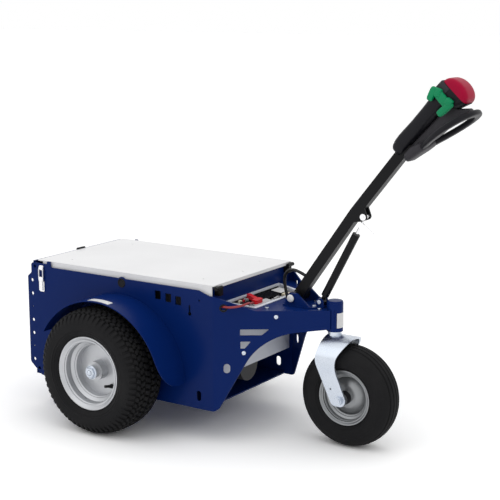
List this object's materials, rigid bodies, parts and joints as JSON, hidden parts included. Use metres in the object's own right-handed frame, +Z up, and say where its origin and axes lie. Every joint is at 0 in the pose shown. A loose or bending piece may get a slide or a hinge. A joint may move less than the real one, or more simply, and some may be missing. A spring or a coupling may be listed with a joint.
{
  "type": "electric tow tractor",
  "caption": "Walk-behind battery tow tractor: folded blue body with white lid, turf drive wheels under fenders, swivel castor in front, and a tilting tiller with grip loop.",
  "frame": {"origin": "on the ground under the middle of the overall box", "axes": "+X forward to the castor and tiller, +Y to the machine's left, +Z up"},
  "size_m": [1.4623, 0.784, 1.1207],
  "materials": {
    "blue_paint": "gloss",
    "pale_paint": "satin",
    "white_paint": "satin",
    "black_paint": "satin",
    "tyre": "matte",
    "silver_paint": "gloss",
    "zinc": "satin",
    "bright_steel": "polished",
    "castings": "matte",
    "black_plastic": "satin",
    "grey_plastic": "matte",
    "green_plastic": "gloss",
    "red_plastic": "gloss",
    "battery_case": "matte",
    "red_cable": "satin",
    "black_cable": "satin"
  },
  "bodies": {
    "chassis": {"side_plate_right": "blue_paint", "side_plate_left": "blue_paint", "fender_right": "blue_paint", "fender_left": "blue_paint", "toggle_latch_right": "zinc", "toggle_latch_left": "zinc", "rear_plate": "blue_paint", "floor_pan": "blue_paint", "battery_shelf": "blue_paint", "front_panel": "pale_paint", "nose_deck": "blue_paint", "swivel_tube": "blue_paint", "controller_pan": "pale_paint", "motor_controller": "black_plastic", "power_connector": "grey_plastic", "connector_handle": "red_plastic", "transaxle": "castings", "batteries": "battery_case", "lid_hinges": "black_paint", "tiller_bracket": "blue_paint", "pivot_pins": "zinc", "power_cable": "red_cable", "control_cable": "black_cable"},
    "wheel_right": {"drive_tyre_right": "tyre", "drive_rim_right": "silver_paint"},
    "wheel_left": {"drive_tyre_left": "tyre", "drive_rim_left": "silver_paint"},
    "castor": {"castor_fork": "zinc", "castor_stem": "zinc", "castor_axle": "zinc"},
    "castor_wheel": {"castor_tyre": "tyre", "castor_rim": "silver_paint"},
    "lid": {"lid": "white_paint", "lid_pull": "black_plastic", "lid_knuckles": "black_paint"},
    "tiller": {"tiller_pole": "black_paint", "grip_loop": "black_plastic", "head_console": "black_plastic", "console_block": "grey_plastic", "stop_button": "red_plastic", "throttle_paddles": "green_plastic", "head_cover": "grey_plastic"},
    "gas_cylinder": {"gas_cylinder": "black_paint"},
    "gas_rod": {"gas_rod": "bright_steel", "release_lever": "bright_steel"}
  },
  "joints": [
    {"name": "drive_wheel_right", "type": "hinge", "parent": "chassis", "child": "wheel_right", "pos_m": [-0.35216, -0.315, 0.2], "axis": [0, 1, 0], "continuous": true},
    {"name": "drive_wheel_left", "type": "hinge", "parent": "chassis", "child": "wheel_left", "pos_m": [-0.35216, 0.315, 0.2], "axis": [0, 1, 0], "continuous": true},
    {"name": "castor_swivel", "type": "hinge", "parent": "chassis", "child": "castor", "pos_m": [0.30484, 0, 0.35], "axis": [0, 0, 1], "continuous": true},
    {"name": "castor_roll", "type": "hinge", "parent": "castor", "child": "castor_wheel", "pos_m": [0.36184, 0, 0.157], "axis": [0, 1, 0], "continuous": true},
    {"name": "lid_hinge", "type": "hinge", "parent": "chassis", "child": "lid", "pos_m": [0.01984, 0, 0.484], "axis": [0, 1, 0], "range_deg": [0, 80]},
    {"name": "tiller_tilt", "type": "hinge", "parent": "chassis", "child": "tiller", "pos_m": [0.17784, 0, 0.443], "axis": [0, -1, 0], "range_deg": [-10, 38], "deforming": ["control_cable"]},
    {"name": "gas_cylinder_tilt", "type": "hinge", "parent": "chassis", "child": "gas_cylinder", "pos_m": [0.25984, 0, 0.436], "axis": [0, -1, 0], "range_deg": [-10.85, 39.83]},
    {"name": "gas_rod_slide", "type": "slide", "parent": "gas_cylinder", "child": "gas_rod", "axis": [0.464, 0, 0.8858], "range_m": [-0.01429, 0.05289]}
  ],
  "couplings": [
    {"joint": "gas_cylinder_tilt", "follows": "tiller_tilt", "ratio": 1.035},
    {"joint": "gas_rod_slide", "follows": "tiller_tilt", "m_per_rad": 0.079}
  ]
}
